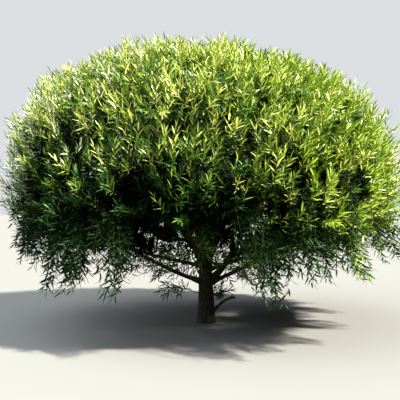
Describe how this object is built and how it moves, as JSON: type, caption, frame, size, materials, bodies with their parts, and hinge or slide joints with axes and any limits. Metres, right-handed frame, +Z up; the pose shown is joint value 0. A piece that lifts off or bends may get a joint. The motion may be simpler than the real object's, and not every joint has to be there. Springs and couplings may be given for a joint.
{
  "type": "crack willow tree",
  "caption": "Globe-crowned crack willow: a short trunk forks low into fanning boughs under a dense dome of narrow leaves with a ragged drooping hem.",
  "frame": {"origin": "middle of the trunk's flat cut foot, at ground level", "axes": "+Z up, -Y towards the viewer of the picture, +X to that viewer's right"},
  "size_m": [4.7605, 4.4599, 3.2128],
  "materials": {
    "bark": "rough furrowed bark",
    "dead_wood": "weathered dead wood",
    "foliage": "glossy narrow leaves"
  },
  "bodies": {
    "root": {"bough_high_back_left": "bark", "bough_high_back_right": "bark", "bough_high_front_left": "bark", "bough_high_front_right": "bark", "bough_high_left": "bark", "bough_high_right": "bark", "bough_low_back": "bark", "bough_low_back_left": "bark", "bough_low_back_right": "bark", "bough_low_front": "bark", "bough_low_front_left": "bark", "bough_low_front_right": "bark", "bough_low_left": "bark", "bough_low_right": "bark", "bough_top": "bark", "foliage_high_back_left": "foliage", "foliage_high_back_right": "foliage", "foliage_high_front_left": "foliage", "foliage_high_front_right": "foliage", "foliage_high_left": "foliage", "foliage_high_right": "foliage", "foliage_low_back": "foliage", "foliage_low_back_left": "foliage", "foliage_low_back_right": "foliage", "foliage_low_front": "foliage", "foliage_low_front_left": "foliage", "foliage_low_front_right": "foliage", "foliage_low_left": "foliage", "foliage_low_right": "foliage", "foliage_top": "foliage", "low_spur": "dead_wood", "shoot_left": "foliage", "shoot_right": "foliage", "trunk": "bark"}
  },
  "joints": []
}
